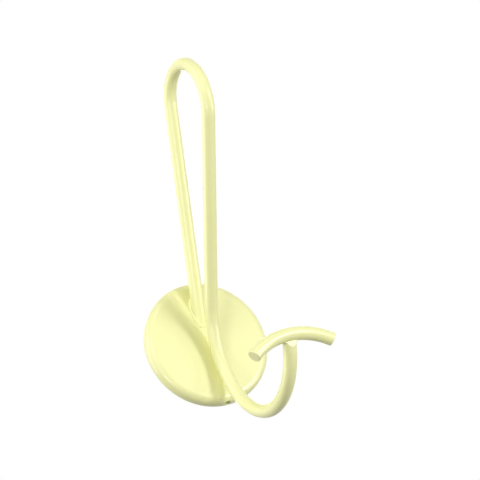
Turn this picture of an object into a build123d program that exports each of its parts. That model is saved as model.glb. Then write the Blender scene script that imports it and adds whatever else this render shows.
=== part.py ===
"""Wall coat hook: a bent rod with a hairpin loop and a J hook, a cross bar and a round rose.

Frame: millimetres, Z up, the wall at Y = 0 and the room at -Y. The origin is the
centre of the rose's back. The rod is bent in the plane X = 0.
"""

import os
from math import cos, degrees, radians, sin

from build123d import *

# Bent rod; the bend radii are to its centre line
rod_diameter = 8.0
foot_height = 19.0          # middle of the foot above the rose's centre
back_lean = 26.75           # the back leg leans out from the wall, degrees
back_leg_length = 128.5
loop_radius = 24.75
front_lean = 41.25          # the front leg leans out from the wall, degrees
front_leg_length = 121.5
hook_radius = 47.4
hook_turn = 189.25          # angle of the J's bend, degrees
tip_length = 6.5            # straight end of the J, up to the bar's centre line
tip_setback = 2.0           # the rod's end stops this short of the bar's centre line
flat_start = 6.3            # the flat ground on the J's front begins this far below the bar's centre
flat_slope = 28.0           # angle of that flat to the rod, degrees
foot_weld = 0.5             # radius of the weld between foot and rose
bar_weld = 1.5              # radius of the weld between J and bar
weld_gap = 0.03             # between the bar and the J's end with its weld

# Cross bar
bar_diameter = 8.0
bar_bend_radius = 44.0
bar_length = 55.5           # along its centre line
bar_edge = 0.6              # rounding of its two ends

# Rose
rose_diameter = 80.0
rose_height = 7.0
shoulder_radius = 4.5
rose_web = 1.6              # metal left between the recess and the face
rim_width = 9.5             # metal left between the recess and the rim
rose_edge = 0.3             # rounding of the rim where it meets the wall

# Hidden wall plate, which fills the recess but for the two gaps
plate_undercut = 1.5        # its edge draws in by this much towards the wall
plate_side_gap = 0.5
plate_front_gap = 0.4
fixing_spacing = 34.0
fixing_hole_diameter = 4.5
fixing_head_diameter = 9.0
fixing_head_angle = 90.0

# Set screw in the rim
set_screw_diameter = 4.0
set_screw_length = 8.0
thread_gap = 0.05
hole_land = 0.05            # metal left between the tapped hole and the recess's floor
point_diameter = 2.0
point_length = 1.0
point_gap = 0.1             # from the point to the wall plate's edge
socket_width = 2.0          # across flats
socket_depth = 2.4
set_screw_edge = 0.25       # chamfer round its outer end

# Sizes that follow from these
rod_radius = rod_diameter / 2
rose_radius = rose_diameter / 2
recess_radius = rose_radius - rim_width
recess_depth = rose_height - rose_web
plate_radius = recess_radius - plate_side_gap
plate_thickness = recess_depth - plate_front_gap
set_screw_radius = set_screw_diameter / 2
tapped_radius = set_screw_radius + thread_gap
set_screw_height = recess_depth - tapped_radius - hole_land
loop_turn = 180 + front_lean - back_lean
bar_angle = degrees(bar_length / bar_bend_radius)

# The point meets the plate's slanting edge with the part of its rim that is furthest from the wall
point_top = set_screw_height + point_diameter / 2
edge_radius = plate_radius - plate_undercut * (1 - point_top / plate_thickness)
point_place = edge_radius + point_gap

# The foot is swept on behind the rose's face, so that its slanting cut is whole
foot_overrun = rod_diameter / sin(radians(back_lean))
foot_start = (
    rose_height - foot_overrun * sin(radians(back_lean)),
    foot_height - foot_overrun * cos(radians(back_lean)),
)

# Local x points away from the wall and local y up in the plane of the bends
bend_plane = Plane(origin=(0, 0, 0), x_dir=(0, -1, 0), z_dir=(-1, 0, 0))
# Local x is the radius and local y the distance from the wall for what is turned
turning_plane = Plane(origin=(0, 0, 0), x_dir=(1, 0, 0), z_dir=(0, 0, -1))
turning_axis = Axis((0, 0, 0), (0, -1, 0))

os.makedirs("parts", exist_ok=True)

# Centre line of the bent rod, from behind the rose's face to the cross bar
with BuildLine(bend_plane) as rod_line:
    back_leg = PolarLine(foot_start, foot_overrun + back_leg_length, 90 - back_lean)
    loop_bend = JernArc(back_leg @ 1, back_leg % 1, loop_radius, -loop_turn)
    front_leg = PolarLine(loop_bend @ 1, front_leg_length, direction=loop_bend % 1)
    hook_bend = JernArc(front_leg @ 1, front_leg % 1, hook_radius, hook_turn)
    tip = PolarLine(hook_bend @ 1, tip_length - tip_setback, direction=hook_bend % 1)
tip_way = tip % 1
bar_middle = (tip @ 1) + tip_way * tip_setback

# The flat faces away from the wall and a little along the rod's end
front_way = Vector(1, 0, 0).cross(tip_way)
flat_plane = Plane(
    origin=bar_middle - tip_way * flat_start + front_way * rod_radius,
    x_dir=(1, 0, 0),
    z_dir=front_way * cos(radians(flat_slope)) + tip_way * sin(radians(flat_slope)),
)

# Cross bar: a shallow arc across the end of the J, with both ends drooping
with BuildLine(Plane.XZ.offset(-bar_middle.Y)) as bar_line:
    CenterArc(
        (0, bar_middle.Z - bar_bend_radius),
        bar_bend_radius,
        90 - bar_angle / 2,
        bar_angle,
    )


def bowed_bar(diameter):
    """Length of bar along the bar's centre line, with its ends cut square."""
    with BuildPart() as blank:
        with BuildSketch(Plane(origin=bar_line.line @ 0, z_dir=bar_line.line % 0)):
            Circle(diameter / 2)
        sweep(path=bar_line.line)
    return blank.part


bar_blank = bowed_bar(bar_diameter)
bar_seat = bowed_bar(bar_diameter + 2 * weld_gap)
with BuildPart() as cross_bar:
    add(bar_blank)
    bar_ends = cross_bar.faces().filter_by(GeomType.PLANE)
    fillet(bar_ends.edges(), bar_edge)
cross_bar.part.label = "cross_bar"

# A block that stands for the rose while the foot is cut and its weld rounded
with BuildPart(Plane.XZ.offset(rose_height)) as rose_block:
    Box(
        rose_diameter,
        rose_diameter,
        rose_diameter,
        align=(Align.CENTER, Align.CENTER, Align.MAX),
    )

# Bent rod: the foot ends on the rose's face; the J is ground flat in front and coped round the bar,
# with a weld along both sides
with BuildPart() as hook_rod:
    with BuildSketch(Plane(origin=rod_line.line @ 0, z_dir=rod_line.line % 0)):
        Circle(rod_radius)
    sweep(path=rod_line.line)
    with Locations(flat_plane):
        Box(
            2 * rod_diameter,
            2 * rod_diameter,
            rod_diameter,
            align=(Align.CENTER, Align.CENTER, Align.MIN),
            mode=Mode.SUBTRACT,
        )
    add(rose_block.part)
    foot_edges = hook_rod.edges(Select.NEW).filter_by(GeomType.ELLIPSE)
    fillet(foot_edges, foot_weld)
    add(rose_block.part, mode=Mode.SUBTRACT)
    add(bar_blank)
    seams = hook_rod.edges(Select.NEW)
    side_seams = seams.filter_by(lambda seam: abs(seam.center().X) > rod_radius / 4)
    fillet(side_seams, bar_weld)
    add(bar_seat, mode=Mode.SUBTRACT)
hook_rod.part.label = "hook_rod"

# Rose: a disc with a rounded shoulder, a recess behind and a tapped hole in the rim
with BuildPart() as rose:
    with BuildSketch(turning_plane) as rose_profile:
        Rectangle(rose_radius, rose_height, align=(Align.MIN, Align.MIN))
        back_corner, front_corner = rose_profile.vertices().sort_by(Axis.X)[-2:].sort_by(Axis.Y)
        fillet(front_corner, shoulder_radius)
        fillet(back_corner, rose_edge)
        Rectangle(recess_radius, recess_depth, align=(Align.MIN, Align.MIN), mode=Mode.SUBTRACT)
    revolve(axis=turning_axis)
    with BuildSketch(Plane(origin=(0, -set_screw_height, -plate_radius), z_dir=(0, 0, -1))):
        Circle(tapped_radius)
    extrude(amount=rose_radius, mode=Mode.SUBTRACT)
rose.part.label = "rose"

# Wall plate: the undercut disc that the rose is clamped on, with two countersunk holes
with BuildPart() as wall_plate:
    with BuildSketch(turning_plane):
        with BuildLine():
            Polyline(
                (0, 0),
                (plate_radius - plate_undercut, 0),
                (plate_radius, plate_thickness),
                (0, plate_thickness),
                close=True,
            )
        make_face()
    revolve(axis=turning_axis)
    with Locations(Plane.XZ.offset(plate_thickness)):
        with GridLocations(fixing_spacing, 0, 2, 1):
            CounterSinkHole(
                fixing_hole_diameter / 2,
                fixing_head_diameter / 2,
                counter_sink_angle=fixing_head_angle,
            )
wall_plate.part.label = "wall_plate"

# Set screw: headless, with a hexagon socket outside and a blunt point on the plate's edge
screw_end = (0, -set_screw_height, -point_place - set_screw_length)
with BuildPart() as set_screw:
    with BuildSketch(Plane(origin=screw_end, x_dir=(1, 0, 0), z_dir=(0, -1, 0))):
        with BuildLine():
            Polyline(
                (0, 0),
                (set_screw_radius - set_screw_edge, 0),
                (set_screw_radius, set_screw_edge),
                (set_screw_radius, set_screw_length - point_length),
                (point_diameter / 2, set_screw_length),
                (0, set_screw_length),
                close=True,
            )
        make_face()
    revolve(axis=Axis(screw_end, (0, 0, 1)))
    with BuildSketch(Plane(origin=screw_end, z_dir=(0, 0, 1))):
        RegularPolygon(socket_width / 2, 6, major_radius=False)
    extrude(amount=socket_depth, mode=Mode.SUBTRACT)
set_screw.part.label = "set_screw"

export_step(hook_rod.part, "parts/hook_rod.step")
export_step(cross_bar.part, "parts/cross_bar.step")
export_step(rose.part, "parts/rose.step")
export_step(wall_plate.part, "parts/wall_plate.step")
export_step(set_screw.part, "parts/set_screw.step")

for piece in (hook_rod, cross_bar, rose, wall_plate, set_screw):
    box = piece.part.bounding_box()
    print(piece.part.label, len(piece.part.solids()), round(piece.part.volume, 1), box.min, box.max)
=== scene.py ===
# %% [markdown]
# # A coated wall coat hook
# The hook is one steel rod, bent to a leaning hairpin loop and a wide J. A short bowed bar is
# welded across the end of the J, and the foot of the rod is welded to a round rose that hides the
# fixing. All of that wears one glossy, pale yellow coat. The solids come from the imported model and
# keep their shape here. This lesson gives each of them its finish, adds the traces of making that
# only show close up, and lights them as a studio photograph would.

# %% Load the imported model
import math

import bmesh
import bpy
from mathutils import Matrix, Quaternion, Vector


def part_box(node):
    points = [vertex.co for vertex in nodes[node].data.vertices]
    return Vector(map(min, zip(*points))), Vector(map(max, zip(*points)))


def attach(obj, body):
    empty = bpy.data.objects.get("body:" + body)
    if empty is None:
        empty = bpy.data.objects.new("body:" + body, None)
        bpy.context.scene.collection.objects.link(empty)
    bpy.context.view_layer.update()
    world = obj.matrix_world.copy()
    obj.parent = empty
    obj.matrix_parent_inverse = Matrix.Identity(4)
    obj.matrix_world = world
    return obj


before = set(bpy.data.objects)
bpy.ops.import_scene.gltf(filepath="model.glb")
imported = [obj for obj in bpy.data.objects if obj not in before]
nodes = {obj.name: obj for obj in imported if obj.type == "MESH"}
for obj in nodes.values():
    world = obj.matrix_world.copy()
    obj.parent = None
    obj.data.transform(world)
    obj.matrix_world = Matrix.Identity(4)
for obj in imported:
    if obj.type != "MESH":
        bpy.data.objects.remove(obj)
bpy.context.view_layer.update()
scene = bpy.context.scene
scene.view_settings.view_transform = "Standard"

# %% [markdown]
# ## Helpers
# A material is a graph of nodes, and it gets long when every node takes five lines. So one helper
# adds a node and sets its values at once, one makes a named socket on a node group, one links many
# sockets in one call, and one starts a material. Two more are for pieces that the solids don't
# have: they join cross sections to a surface, and turn that mesh into an object that moves with the
# hook and wears one of its materials.


# %% Node helpers
def add_node(tree, kind, label, inputs=None, **properties):
    """Adds a shader node with a label, and sets its properties and inputs."""
    node = tree.nodes.new(kind)
    node.label = label
    for key, value in properties.items():
        setattr(node, key, value)
    for key, value in (inputs or {}).items():
        node.inputs[key].default_value = value
    return node


def add_socket(group, name, way, kind, value=None):
    """Adds an input or output to a node group."""
    socket = group.interface.new_socket(name, in_out=way, socket_type="NodeSocket" + kind)
    if value is not None:
        socket.default_value = value


def link(tree, *pairs):
    """Links each pair of an output and an input."""
    for output, target in pairs:
        tree.links.new(output, target)


print("node helpers", add_node.__name__, add_socket.__name__, link.__name__)


# %% Material helpers
def new_material(name, constants=None):
    """Starts a material, and sets those sockets of its shader that are the same all over."""
    material = bpy.data.materials.new(name)
    material.use_nodes = True
    shader = material.node_tree.nodes["Principled BSDF"]
    for key, value in (constants or {}).items():
        shader.inputs[key].default_value = value
    return material, material.node_tree, shader


def dress(name, material):
    """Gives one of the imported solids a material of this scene."""
    nodes[name].data.materials.clear()
    nodes[name].data.materials.append(material)


print("material helpers", new_material.__name__, dress.__name__)


# %% Piece helpers
def join_loops(mesh, loops):
    """Makes faces between closed cross sections that follow each other round a ring."""
    for i, here in enumerate(loops):
        there = loops[(i + 1) % len(loops)]
        for j in range(len(here)):
            k = (j + 1) % len(here)
            mesh.faces.new((here[j], here[k], there[k], there[j]))


def new_piece(name, mesh, material, slot):
    """Turns a bmesh into a smooth object that rides with the hook."""
    bmesh.ops.recalc_face_normals(mesh, faces=mesh.faces)
    data = bpy.data.meshes.new(name)
    mesh.to_mesh(data)
    mesh.free()
    for face in data.polygons:
        face.use_smooth = True
    data.materials.append(material)
    piece = bpy.data.objects.new(name, data)
    scene.collection.objects.link(piece)
    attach(piece, "root")
    return piece


print("piece helpers", join_loops.__name__, new_piece.__name__)

# %% [markdown]
# ## Fine relief
# No finish is perfectly smooth. The coat flowed before it set and has a long, low swell, known as
# orange peel. The plated steel and the blackened screw have a much finer tooth. All three are
# lumps of some length with a finer grain on top, so one node group makes them, and each material
# sets its own lengths in metres. The group also puts out a slow drift from place to place, which
# the materials use to vary colour and gloss. Noise in object space is chosen instead of an image,
# because it needs no unwrapping and keeps its true size on every piece.

# %% Node group: fine relief
fine_relief = bpy.data.node_groups.new("fine_relief", "ShaderNodeTree")
add_socket(fine_relief, "Swell Length", "INPUT", "Float", 0.006)
add_socket(fine_relief, "Grain Length", "INPUT", "Float", 0.001)
add_socket(fine_relief, "Grain Share", "INPUT", "Float", 0.2)
add_socket(fine_relief, "Drift Length", "INPUT", "Float", 0.035)
add_socket(fine_relief, "Height", "OUTPUT", "Float")
add_socket(fine_relief, "Drift", "OUTPUT", "Float")
group_in = add_node(fine_relief, "NodeGroupInput", "in")
group_out = add_node(fine_relief, "NodeGroupOutput", "out")
place = add_node(fine_relief, "ShaderNodeTexCoord", "place on the object")


def lumps(length, label, detail):
    """Noise in the relief group, whose lumps are as long as the named input says."""
    scale = add_node(fine_relief, "ShaderNodeMath", label + " scale", {0: 1.0}, operation="DIVIDE")
    softness = {"Detail": detail, "Roughness": 0.45}
    noise = add_node(fine_relief, "ShaderNodeTexNoise", label, softness)
    link(
        fine_relief,
        (group_in.outputs[length], scale.inputs[1]),
        (scale.outputs[0], noise.inputs["Scale"]),
        (place.outputs["Object"], noise.inputs["Vector"]),
    )
    return noise


swell = lumps("Swell Length", "swell", 1.0)
grain = lumps("Grain Length", "grain", 2.0)
drift = lumps("Drift Length", "drift", 2.0)
height = add_node(fine_relief, "ShaderNodeMix", "swell and grain", data_type="FLOAT")
link(
    fine_relief,
    (group_in.outputs["Grain Share"], height.inputs["Factor"]),
    (swell.outputs["Fac"], height.inputs["A"]),
    (grain.outputs["Fac"], height.inputs["B"]),
    (height.outputs["Result"], group_out.inputs["Height"]),
    (drift.outputs["Fac"], group_out.inputs["Drift"]),
)
print("group", fine_relief.name, len(fine_relief.nodes), "nodes")

# %% [markdown]
# ## Edges
# Edges look different from faces on every finish here. A coat draws back from an edge and is
# thinner and paler there, plating is rubbed bright, and black oxide wears off first. What they
# share is the place, so a second group finds it. It compares the true normal with the one that a
# small rounding would have: on a face they agree, and at an edge they don't. Painting a mask by
# hand would also work, but it would have to be redone when the solids change.

# %% Node group: edge mask
edge_mask = bpy.data.node_groups.new("edge_mask", "ShaderNodeTree")
add_socket(edge_mask, "Reach", "INPUT", "Float", 0.0005)
add_socket(edge_mask, "Breakup Length", "INPUT", "Float", 0.002)
add_socket(edge_mask, "Edge", "OUTPUT", "Float")
group_in = add_node(edge_mask, "NodeGroupInput", "in")
group_out = add_node(edge_mask, "NodeGroupOutput", "out")
rounded = add_node(edge_mask, "ShaderNodeBevel", "as if rounded", samples=6)
plain = add_node(edge_mask, "ShaderNodeNewGeometry", "as it is")
agree = add_node(edge_mask, "ShaderNodeVectorMath", "how far they agree", operation="DOT_PRODUCT")
ramp = {"From Min": 0.98, "From Max": 0.8, "To Min": 0.0, "To Max": 1.0}
depart = add_node(edge_mask, "ShaderNodeMapRange", "edge", ramp)
scale = add_node(edge_mask, "ShaderNodeMath", "breakup scale", {0: 1.0}, operation="DIVIDE")
place = add_node(edge_mask, "ShaderNodeTexCoord", "place on the object")
breakup = add_node(edge_mask, "ShaderNodeTexNoise", "breakup", {"Detail": 3.0})
uneven = {"From Min": 0.3, "From Max": 0.6, "To Min": 0.35, "To Max": 1.0}
share = add_node(edge_mask, "ShaderNodeMapRange", "uneven along the edge", uneven)
both = add_node(edge_mask, "ShaderNodeMath", "edge and breakup", operation="MULTIPLY")
link(
    edge_mask,
    (group_in.outputs["Reach"], rounded.inputs["Radius"]),
    (rounded.outputs["Normal"], agree.inputs[0]),
    (plain.outputs["Normal"], agree.inputs[1]),
    (agree.outputs["Value"], depart.inputs["Value"]),
    (group_in.outputs["Breakup Length"], scale.inputs[1]),
    (scale.outputs[0], breakup.inputs["Scale"]),
    (place.outputs["Object"], breakup.inputs["Vector"]),
    (breakup.outputs["Fac"], share.inputs["Value"]),
    (depart.outputs["Result"], both.inputs[0]),
    (share.outputs["Result"], both.inputs[1]),
    (both.outputs[0], group_out.inputs["Edge"]),
)
print("group", edge_mask.name, len(edge_mask.nodes), "nodes")

# %% [markdown]
# ## Pale yellow coat
# The rod, the bar and the rose are taken as powder-coated: the coat is sprayed on dry and baked, and
# comes out opaque and smooth, with highlights that are clear but a little soft. One flat colour
# would look like plastic. So the base colour, which is the coat's own colour without light on it, is
# a shade deeper where the drift says the coat is thicker, and paler at the edges. The Principled
# BSDF stays in the material with the constants set on its own sockets, and the two groups drive
# only what changes over the surface.

# %% Material: pale yellow coat
coat, tree, bsdf = new_material("pale_yellow_coat", {"Specular IOR Level": 0.7, "IOR": 1.5})
peel = {"Swell Length": 0.007, "Grain Length": 0.0014, "Grain Share": 0.2, "Drift Length": 0.035}
relief = add_node(tree, "ShaderNodeGroup", "orange peel", peel, node_tree=fine_relief)
thin = {"Reach": 0.0005}
edge = add_node(tree, "ShaderNodeGroup", "where the coat is thin", thin, node_tree=edge_mask)
shades = {"A": (0.885, 0.88, 0.43, 1.0), "B": (0.865, 0.86, 0.405, 1.0)}
tint = add_node(tree, "ShaderNodeMix", "thin to thick", shades, data_type="RGBA")
drawn = add_node(tree, "ShaderNodeMath", "part drawn back", {1: 0.5}, operation="MULTIPLY")
pale = {"B": (0.9, 0.895, 0.52, 1.0)}
colour = add_node(tree, "ShaderNodeMix", "paler at edges", pale, data_type="RGBA")
gloss = add_node(tree, "ShaderNodeMapRange", "gloss", {"To Min": 0.28, "To Max": 0.32})
bump = add_node(tree, "ShaderNodeBump", "peel", {"Strength": 0.05, "Distance": 0.0003})
link(
    tree,
    (relief.outputs["Drift"], tint.inputs["Factor"]),
    (edge.outputs["Edge"], drawn.inputs[0]),
    (drawn.outputs[0], colour.inputs["Factor"]),
    (tint.outputs["Result"], colour.inputs["A"]),
    (colour.outputs["Result"], bsdf.inputs["Base Color"]),
    (relief.outputs["Drift"], gloss.inputs["Value"]),
    (gloss.outputs["Result"], bsdf.inputs["Roughness"]),
    (relief.outputs["Height"], bump.inputs["Height"]),
    (bump.outputs["Normal"], bsdf.inputs["Normal"]),
)
for name in ("hook_rod", "cross_bar", "rose"):
    dress(name, coat)
print("coat on", [name for name in nodes if coat.name in nodes[name].data.materials])

# %% [markdown]
# ## Turned rings
# The wall plate and the set screw come off a lathe, and a lathe leaves fine rings round the axis
# of the part. A third group makes them for any axis. It measures the distance from the axis,
# shifts it by a little noise so that the rings are uneven, and sends it through a wave. A stock
# wave texture has rings too, but only round the object's own axes.

# %% Node group: turned rings
turned_rings = bpy.data.node_groups.new("turned_rings", "ShaderNodeTree")
add_socket(turned_rings, "Centre", "INPUT", "Vector", (0.0, 0.0, 0.0))
add_socket(turned_rings, "Axis", "INPUT", "Vector", (0.0, 1.0, 0.0))
add_socket(turned_rings, "Pitch", "INPUT", "Float", 0.0005)
add_socket(turned_rings, "Height", "OUTPUT", "Float")
group_in = add_node(turned_rings, "NodeGroupInput", "in")
group_out = add_node(turned_rings, "NodeGroupOutput", "out")
place = add_node(turned_rings, "ShaderNodeTexCoord", "place on the object")
arm = add_node(turned_rings, "ShaderNodeVectorMath", "from the centre", operation="SUBTRACT")
square = add_node(turned_rings, "ShaderNodeVectorMath", "off the axis", operation="CROSS_PRODUCT")
radius = add_node(turned_rings, "ShaderNodeVectorMath", "radius", operation="LENGTH")
count = add_node(turned_rings, "ShaderNodeMath", "rings", operation="DIVIDE")
wander = add_node(
    turned_rings,
    "ShaderNodeTexNoise",
    "wander",
    {"Scale": 900.0, "Detail": 2.0},
    noise_dimensions="1D",
)
shifted = add_node(turned_rings, "ShaderNodeMath", "uneven rings", {1: 4.0}, operation="MULTIPLY_ADD")
turns = add_node(turned_rings, "ShaderNodeMath", "to an angle", {1: math.tau}, operation="MULTIPLY")
wave = add_node(turned_rings, "ShaderNodeMath", "wave", operation="SINE")
lift = add_node(turned_rings, "ShaderNodeMapRange", "height", {"From Min": -1.0, "From Max": 1.0})
link(
    turned_rings,
    (place.outputs["Object"], arm.inputs[0]),
    (group_in.outputs["Centre"], arm.inputs[1]),
    (arm.outputs["Vector"], square.inputs[0]),
    (group_in.outputs["Axis"], square.inputs[1]),
    (square.outputs["Vector"], radius.inputs[0]),
    (radius.outputs["Value"], count.inputs[0]),
    (group_in.outputs["Pitch"], count.inputs[1]),
    (radius.outputs["Value"], wander.inputs["W"]),
    (wander.outputs["Fac"], shifted.inputs[0]),
    (count.outputs[0], shifted.inputs[2]),
    (shifted.outputs[0], turns.inputs[0]),
    (turns.outputs[0], wave.inputs[0]),
    (wave.outputs[0], lift.inputs["Value"]),
    (lift.outputs["Result"], group_out.inputs["Height"]),
)
print("group", turned_rings.name, len(turned_rings.nodes), "nodes")

# %% [markdown]
# ## Wall plate: zinc on turned steel
# The plate that the rose is clamped on never shows once the hook is up, so it isn't coated. It is
# taken as turned steel with bright zinc plating. Zinc is a metal with a faint blue cast, a little
# cloudy, and brighter on its edges. A grey metal with some roughness would be the quick way. Here
# the lathe rings come from the group of the step before, as relief, because it is the rings that
# make turned steel look satin from one side and bright from another.

# %% Material: bright zinc
zinc, tree, bsdf = new_material("bright_zinc", {"Metallic": 1.0})
rings = add_node(tree, "ShaderNodeGroup", "lathe rings", {"Pitch": 0.0005}, node_tree=turned_rings)
tooth = {"Swell Length": 0.003, "Grain Length": 0.0003, "Grain Share": 0.6, "Drift Length": 0.009}
relief = add_node(tree, "ShaderNodeGroup", "cloudy plating", tooth, node_tree=fine_relief)
edge = add_node(tree, "ShaderNodeGroup", "rubbed edges", {"Reach": 0.0004}, node_tree=edge_mask)
shades = {"A": (0.56, 0.575, 0.59, 1.0), "B": (0.68, 0.69, 0.7, 1.0)}
cloud = add_node(tree, "ShaderNodeMix", "cloudy", shades, data_type="RGBA")
bright = {"B": (0.82, 0.825, 0.83, 1.0)}
colour = add_node(tree, "ShaderNodeMix", "bright edges", bright, data_type="RGBA")
mix_height = add_node(tree, "ShaderNodeMix", "rings and tooth", {"Factor": 0.3}, data_type="FLOAT")
gloss = add_node(tree, "ShaderNodeMapRange", "gloss", {"To Min": 0.26, "To Max": 0.42})
bump = add_node(tree, "ShaderNodeBump", "rings", {"Strength": 0.25, "Distance": 0.0001})
link(
    tree,
    (relief.outputs["Drift"], cloud.inputs["Factor"]),
    (cloud.outputs["Result"], colour.inputs["A"]),
    (edge.outputs["Edge"], colour.inputs["Factor"]),
    (colour.outputs["Result"], bsdf.inputs["Base Color"]),
    (relief.outputs["Drift"], gloss.inputs["Value"]),
    (gloss.outputs["Result"], bsdf.inputs["Roughness"]),
    (rings.outputs["Height"], mix_height.inputs["A"]),
    (relief.outputs["Height"], mix_height.inputs["B"]),
    (mix_height.outputs["Result"], bump.inputs["Height"]),
    (bump.outputs["Normal"], bsdf.inputs["Normal"]),
)
dress("wall_plate", zinc)
print("zinc on", nodes["wall_plate"].name)

# %% [markdown]
# ## Set screw: black oxide
# Small set screws are hardened and blackened. Black oxide is nearly black and only slightly shiny,
# and it rubs off where a key turns in the socket, so that bare steel shows at the edges. Two
# materials with a mask between them could show that. One is enough here: the edge mask makes the
# surface lighter and metallic at the same time. The rings need the screw's own axis, which is the
# middle of its box in the frame.

# %% Material: black oxide
screw_low, screw_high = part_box("set_screw")
screw_middle = (screw_low + screw_high) / 2
oxide, tree, bsdf = new_material("black_oxide")
upright = {"Centre": screw_middle, "Axis": (0.0, 0.0, 1.0), "Pitch": 0.0002}
rings = add_node(tree, "ShaderNodeGroup", "lathe rings", upright, node_tree=turned_rings)
tooth = {"Swell Length": 0.0008, "Grain Length": 0.00015, "Grain Share": 0.5, "Drift Length": 0.002}
relief = add_node(tree, "ShaderNodeGroup", "tooth", tooth, node_tree=fine_relief)
rubbed = {"Reach": 0.00012, "Breakup Length": 0.0006}
edge = add_node(tree, "ShaderNodeGroup", "rubbed edges", rubbed, node_tree=edge_mask)
shades = {"A": (0.024, 0.024, 0.026, 1.0), "B": (0.04, 0.038, 0.037, 1.0)}
black = add_node(tree, "ShaderNodeMix", "uneven black", shades, data_type="RGBA")
bare = {"B": (0.42, 0.41, 0.4, 1.0)}
colour = add_node(tree, "ShaderNodeMix", "bare steel at edges", bare, data_type="RGBA")
gloss = add_node(tree, "ShaderNodeMapRange", "gloss", {"To Min": 0.34, "To Max": 0.52})
mix_height = add_node(tree, "ShaderNodeMix", "rings and tooth", {"Factor": 0.5}, data_type="FLOAT")
bump = add_node(tree, "ShaderNodeBump", "tooth", {"Strength": 0.2, "Distance": 0.00004})
link(
    tree,
    (relief.outputs["Drift"], black.inputs["Factor"]),
    (black.outputs["Result"], colour.inputs["A"]),
    (edge.outputs["Edge"], colour.inputs["Factor"]),
    (colour.outputs["Result"], bsdf.inputs["Base Color"]),
    (edge.outputs["Edge"], bsdf.inputs["Metallic"]),
    (relief.outputs["Drift"], gloss.inputs["Value"]),
    (gloss.outputs["Result"], bsdf.inputs["Roughness"]),
    (rings.outputs["Height"], mix_height.inputs["A"]),
    (relief.outputs["Height"], mix_height.inputs["B"]),
    (mix_height.outputs["Result"], bump.inputs["Height"]),
    (bump.outputs["Normal"], bsdf.inputs["Normal"]),
)
dress("set_screw", oxide)
print("oxide on", nodes["set_screw"].name, "with its axis at", [round(v, 5) for v in screw_middle])

# %% [markdown]
# ## Weld at the foot
# The slanting end of the rod is welded to the rose all round, and the weld still shows under the
# coat as a low bead with a crease on either side. The solid has a plain hollow fillet there. A torus
# would not follow the corner, which is narrow above the rod and wide open below it, so the bead is
# built as a ring of cross sections. Each starts on the rose's face, bulges out of the corner and
# ends on the rod. The ripples that the welder left are a small change of the bulge along the ring,
# and a wider lip on the lower left is taken as the place where the bead was started and closed.

# %% The corner that the bead fills
rod_radius = 0.004
foot_height = 0.019
back_lean = math.radians(26.75)
rose_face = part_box("rose")[0].y
foot = Vector((0.0, rose_face, foot_height))
up_the_rod = Vector((0.0, -math.sin(back_lean), math.cos(back_lean)))
under_the_rod = Vector((0.0, -math.cos(back_lean), -math.sin(back_lean)))
across = Vector((1.0, 0.0, 0.0))
out_of_rose = Vector((0.0, -1.0, 0.0))


def foot_corner(angle):
    """Point of the rod's edge on the rose, and the ways along the face, along the rod and out."""
    out_of_rod = across * math.cos(angle) + under_the_rod * math.sin(angle)
    slide = -rod_radius * math.sin(angle) / math.tan(back_lean)
    corner = foot + out_of_rod * rod_radius + up_the_rod * slide
    along_face = (out_of_rod - out_of_rose * out_of_rod.dot(out_of_rose)).normalized()
    along_rod = (out_of_rose - out_of_rod * out_of_rose.dot(out_of_rod)).normalized()
    return corner, along_face, along_rod, out_of_rod


ring_steps = 360
angles = [math.tau * i / ring_steps for i in range(ring_steps)]
corners = [foot_corner(angle)[0] for angle in angles]
print("foot", [round(1000 * (max(c) - min(c)), 2) for c in zip(*corners)], "mm")

# %% Cross section of the bead
fillet_radius = 0.0005
bead_margin = 0.0007
bead_bulge = 0.36
ripple_length = 0.0017
ripple_bulge = 0.14
ripple_width = 0.04
ripple_shift = 0.5
ripple_shift_pace = 0.61
hand_sway = 0.05
hand_sway_pace = 0.37
lip_angle = 2.05
lip_spread = 0.3
lip_share = 0.7
section_steps = 10
sunk = 0.0002


def bead_section(angle, travelled):
    """Closed cross section of the bead: a bulging front, then three points inside the metal."""
    corner, along_face, along_rod, out_of_rod = foot_corner(angle)
    opening = out_of_rod.angle(out_of_rose)
    phase = travelled / ripple_length
    ripple = abs(math.sin(math.pi * phase + ripple_shift * math.sin(ripple_shift_pace * phase)))
    width = fillet_radius * math.tan(opening / 2) + bead_margin
    width *= 1.0 + hand_sway * math.sin(hand_sway_pace * phase) + ripple_width * ripple
    width *= 1.0 + lip_share * math.exp(-(((angle - lip_angle) / lip_spread) ** 2))
    start = corner + along_face * width
    end = corner + along_rod * width
    outward = (out_of_rod + out_of_rose).normalized()
    rise = (end - start).length * (bead_bulge + ripple_bulge * ripple)
    crown = (start + end) / 2 + outward * rise
    front = []
    for i in range(section_steps + 1):
        u = i / section_steps
        front.append(start * (1 - u) ** 2 + crown * 2 * u * (1 - u) + end * u**2)
    under_end = end - out_of_rod * sunk
    under_corner = corner - (out_of_rod + out_of_rose) * sunk
    under_start = start - out_of_rose * sunk
    return front + [under_end, under_corner, under_start]


print("section of", len(bead_section(0.0, 0.0)), "points")

# %% Bead round the foot
mesh = bmesh.new()
loops = []
travelled = 0.0
for i, angle in enumerate(angles):
    loops.append([mesh.verts.new(point) for point in bead_section(angle, travelled)])
    travelled += (corners[(i + 1) % ring_steps] - corners[i]).length
join_loops(mesh, loops)
foot_weld = new_piece("foot_weld", mesh, coat, "coat")
print("bead", len(foot_weld.data.polygons), "faces on", round(1000 * travelled, 1), "mm")

# %% [markdown]
# ## Marks of the bender
# Where the J's bend starts and ends, the bender's clamp left faint rings on the rod, which the coat
# softens but doesn't hide. They are a tenth of a millimetre high. A bump map could fake them, but
# real geometry also holds in the exported model, so each mark is a low, rounded band that follows
# the rod and gets lower towards the back. To place them, the rod's centre line is followed from the
# foot over the loop to the front leg, and on round the J, by the sizes that the rod was bent to.

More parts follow.
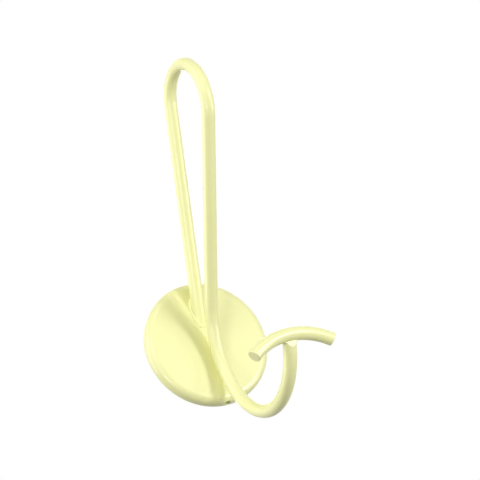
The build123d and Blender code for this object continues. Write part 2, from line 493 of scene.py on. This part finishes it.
# %% The rod's line as far as the J
back_leg_length = 0.1285
loop_radius = 0.02475
front_lean = math.radians(41.25)
front_leg_length = 0.1215
hook_radius = 0.0474
leg_way = Vector((0.0, math.sin(front_lean), -math.cos(front_lean)))
out_of_leg = Vector((0.0, -math.cos(front_lean), -math.sin(front_lean)))
loop_centre = foot + up_the_rod * back_leg_length + under_the_rod * loop_radius
leg_start = loop_centre + out_of_leg * loop_radius
hook_centre = leg_start + leg_way * front_leg_length + out_of_leg * hook_radius
print("front leg from", [round(1000 * v, 2) for v in leg_start], "mm")

# %% Bands that the clamp left
band_width = 0.0012
band_low_share = 0.2
band_sunk = 0.00003
band_root = 0.0004
band_steps = 96
band_section_steps = 8


def clamp_mark(name, centre, way, proud):
    """A low rounded band round the rod, highest on the side that faces away from the wall."""
    front = (out_of_rose - way * out_of_rose.dot(way)).normalized()
    side = way.cross(front)
    mesh = bmesh.new()
    loops = []
    for i in range(band_steps):
        angle = math.tau * i / band_steps
        out = front * math.cos(angle) + side * math.sin(angle)
        crest = proud * (band_low_share + (1 - band_low_share) * (1 + math.cos(angle)) / 2)
        section = []
        for j in range(band_section_steps + 1):
            share = j / band_section_steps - 0.5
            lift = crest * (1 + math.cos(math.tau * share)) / 2 - band_sunk
            point = centre + way * (share * band_width) + out * (rod_radius + lift)
            section.append(mesh.verts.new(point))
        section.append(mesh.verts.new(centre + out * (rod_radius - band_root)))
        loops.append(section)
    join_loops(mesh, loops)
    return new_piece(name, mesh, coat, "coat")


upper_place = 0.1152
lower_place = 0.1182
tip_turn = Quaternion((-1.0, 0.0, 0.0), math.radians(185.52))
tip_centre = hook_centre - tip_turn @ out_of_leg * hook_radius
marks = [
    clamp_mark("clamp_mark_upper", leg_start + leg_way * upper_place, leg_way, 0.00012),
    clamp_mark("clamp_mark_lower", leg_start + leg_way * lower_place, leg_way, 0.0001),
    clamp_mark("clamp_mark_tip", tip_centre, tip_turn @ leg_way, 0.00007),
]
print("marks", [mark.name for mark in marks], "the last at", [round(1000 * v, 2) for v in tip_centre])

# %% [markdown]
# ## Room
# The photograph was taken against white. A white world is the simple way, but as bright as it has
# to look, it would also light the hook from all sides and wash out every shade. Light Path tells the
# two apart: rays that show the room, straight or mirrored in the coat, see full white, and all
# others meet a dim room.


# %% World
def any_sight(tree):
    """Socket that is 1 for rays that show the surroundings, straight or in a reflection."""
    path = add_node(tree, "ShaderNodeLightPath", "kind of ray")
    mirrored = add_node(tree, "ShaderNodeMath", "seen or mirrored", operation="MAXIMUM")
    either = add_node(tree, "ShaderNodeMath", "or seen through", operation="MAXIMUM")
    link(
        tree,
        (path.outputs["Is Camera Ray"], mirrored.inputs[0]),
        (path.outputs["Is Glossy Ray"], mirrored.inputs[1]),
        (mirrored.outputs[0], either.inputs[0]),
        (path.outputs["Is Transmission Ray"], either.inputs[1]),
    )
    return either.outputs[0]


white = (1.0, 1.0, 1.0, 1.0)
world = bpy.data.worlds.new("white_room")
scene.world = world
world.use_nodes = True
tree = world.node_tree
room_light = tree.nodes["Background"]
room_light.inputs["Color"].default_value = white
room_light.inputs["Strength"].default_value = 0.21
full = {"Color": white, "Strength": 1.0}
seen_white = add_node(tree, "ShaderNodeBackground", "white as seen", full)
choose = add_node(tree, "ShaderNodeMixShader", "light or backdrop")
link(
    tree,
    (any_sight(tree), choose.inputs[0]),
    (room_light.outputs[0], choose.inputs[1]),
    (seen_white.outputs[0], choose.inputs[2]),
    (choose.outputs[0], tree.nodes["World Output"].inputs["Surface"]),
)
print("world", world.name, "with a light of", room_light.inputs["Strength"].default_value)

# %% [markdown]
# ## Floor
# The floor is far below the hook, because the camera looks up at it. It is pale, and handled like
# the room: what is seen is mostly white, with a share of the floor's own paint left for soft
# shadows. A plain square would end in a hard line, so that share fades out with the distance, and
# the border can't be told from the room. The floor is hidden from diffuse rays, so that it throws no
# light up on the undersides, which are darker than the fronts. Its white isn't sampled as a lamp
# either, because that would only add noise.

# %% Floor
floor_reach = 12.0
floor_height = -1.2
ways = ((-1, -1), (1, -1), (1, 1), (-1, 1))
floor_corners = [(x * floor_reach, y * floor_reach, floor_height) for x, y in ways]
floor_mesh = bpy.data.meshes.new("floor")
floor_mesh.from_pydata(floor_corners, [], [(0, 1, 2, 3)])
floor = bpy.data.objects.new("floor", floor_mesh)
scene.collection.objects.link(floor)
floor.visible_diffuse = False
paint = {"Base Color": (0.86, 0.86, 0.86, 1.0), "Roughness": 0.7}
floor_paint, tree, bsdf = new_material("pale_floor", paint)
floor_paint.cycles.emission_sampling = "NONE"
floor_mesh.materials.append(floor_paint)
print("floor at", floor_height)

# %% Floor paint that fades to white
place = add_node(tree, "ShaderNodeNewGeometry", "place on the floor")
away = add_node(tree, "ShaderNodeVectorMath", "distance from the hook", operation="LENGTH")
fade = {"From Min": 2.5, "From Max": 11.0, "To Min": 0.8, "To Max": 1.0}
whiter = add_node(tree, "ShaderNodeMapRange", "whiter far away", fade)
share = add_node(tree, "ShaderNodeMath", "share of white", operation="MULTIPLY")
seen_white = add_node(tree, "ShaderNodeEmission", "white as seen", full)
choose = add_node(tree, "ShaderNodeMixShader", "paint or white")
link(
    tree,
    (place.outputs["Position"], away.inputs[0]),
    (away.outputs["Value"], whiter.inputs["Value"]),
    (any_sight(tree), share.inputs[0]),
    (whiter.outputs["Result"], share.inputs[1]),
    (share.outputs[0], choose.inputs[0]),
    (bsdf.outputs[0], choose.inputs[1]),
    (seen_white.outputs[0], choose.inputs[2]),
    (choose.outputs[0], tree.nodes["Material Output"].inputs["Surface"]),
)
print("floor paint", len(tree.nodes), "nodes")

# %% [markdown]
# ## Lamps
# One soft lamp would light the hook, but the photograph shows more. Two bands of shadow cross the
# rose: one is thrown from the right at the hook's own height, one from the left and above. Thin
# double lines along the back leg are mirrored lamps, which stand lower on both sides. A weak lamp
# lights the top, and another the left flank. The pale upper edges of the loop need light from the
# left and from behind. Each lamp is a round area light, so its shadow edges are soft. All stand at
# the same distance and aim at the hook's middle, so that only direction, size and power are set.

# %% Lamps
lamp_aim = Vector((0.0, -0.04, 0.03))
lamp_distance = 1.6


def towards(azimuth, elevation):
    """Direction from the hook: azimuth 0 is straight out from the wall and grows to the right."""
    a = math.radians(azimuth)
    e = math.radians(elevation)
    return Vector((math.sin(a) * math.cos(e), -math.cos(a) * math.cos(e), math.sin(e)))


def add_lamp(name, azimuth, elevation, size, watts):
    """A round soft lamp that shines on the hook from a direction."""
    lamp = bpy.data.lights.new(name, "AREA")
    lamp.shape = "DISK"
    lamp.size = size
    lamp.energy = watts
    lamp_object = bpy.data.objects.new(name, lamp)
    scene.collection.objects.link(lamp_object)
    way = towards(azimuth, elevation)
    lamp_object.location = lamp_aim + way * lamp_distance
    lamp_object.rotation_mode = "QUATERNION"
    lamp_object.rotation_quaternion = (-way).to_track_quat("-Z", "Y")
    return lamp_object


lamps = [
    add_lamp("main_lamp", 31, -3, 0.45, 10.8),
    add_lamp("left_lamp", -34, 18, 0.6, 5.3),
    add_lamp("low_left_lamp", -50, -21, 0.32, 3.8),
    add_lamp("low_right_lamp", 56, -20, 0.32, 5.0),
    add_lamp("high_lamp", 0, 40, 0.9, 3.1),
    add_lamp("left_side_lamp", -72, -4, 0.9, 2.9),
    add_lamp("left_rim_lamp", -85, 34, 0.9, 7.7),
    add_lamp("back_left_lamp", -120, 10, 1.2, 8.2),
    add_lamp("back_right_lamp", 160, 25, 1.2, 8.6),
]
print("lamps", {lamp.name: round(lamp.data.energy, 1) for lamp in lamps})

# %% [markdown]
# ## Camera
# The photograph looks up at the hook from the left, with a long lens and the camera rolled, so that
# the loop stands upright in the picture although it leans out from the wall. A camera can be placed
# by eye in the viewport. Here its direction, roll and distance were found by matching the outline
# of the rod, the rose and the bar, because a degree more or less shows in such thin shapes.

# %% Camera
camera_data = bpy.data.cameras.new("camera")
camera_data.lens = 155.2
camera_data.sensor_width = 36.0
camera = bpy.data.objects.new("camera", camera_data)
scene.collection.objects.link(camera)
scene.camera = camera
camera_aim = Vector((0.0296, -0.0348, 0.0511))
camera_distance = 1.27406
to_camera = towards(-28.680, -17.712)
roll = Quaternion((0.0, 0.0, 1.0), math.radians(-20.10))
camera.location = camera_aim + to_camera * camera_distance
camera.rotation_mode = "QUATERNION"
camera.rotation_quaternion = (-to_camera).to_track_quat("-Z", "Y") @ roll
print("camera at", [round(v, 3) for v in camera.location])
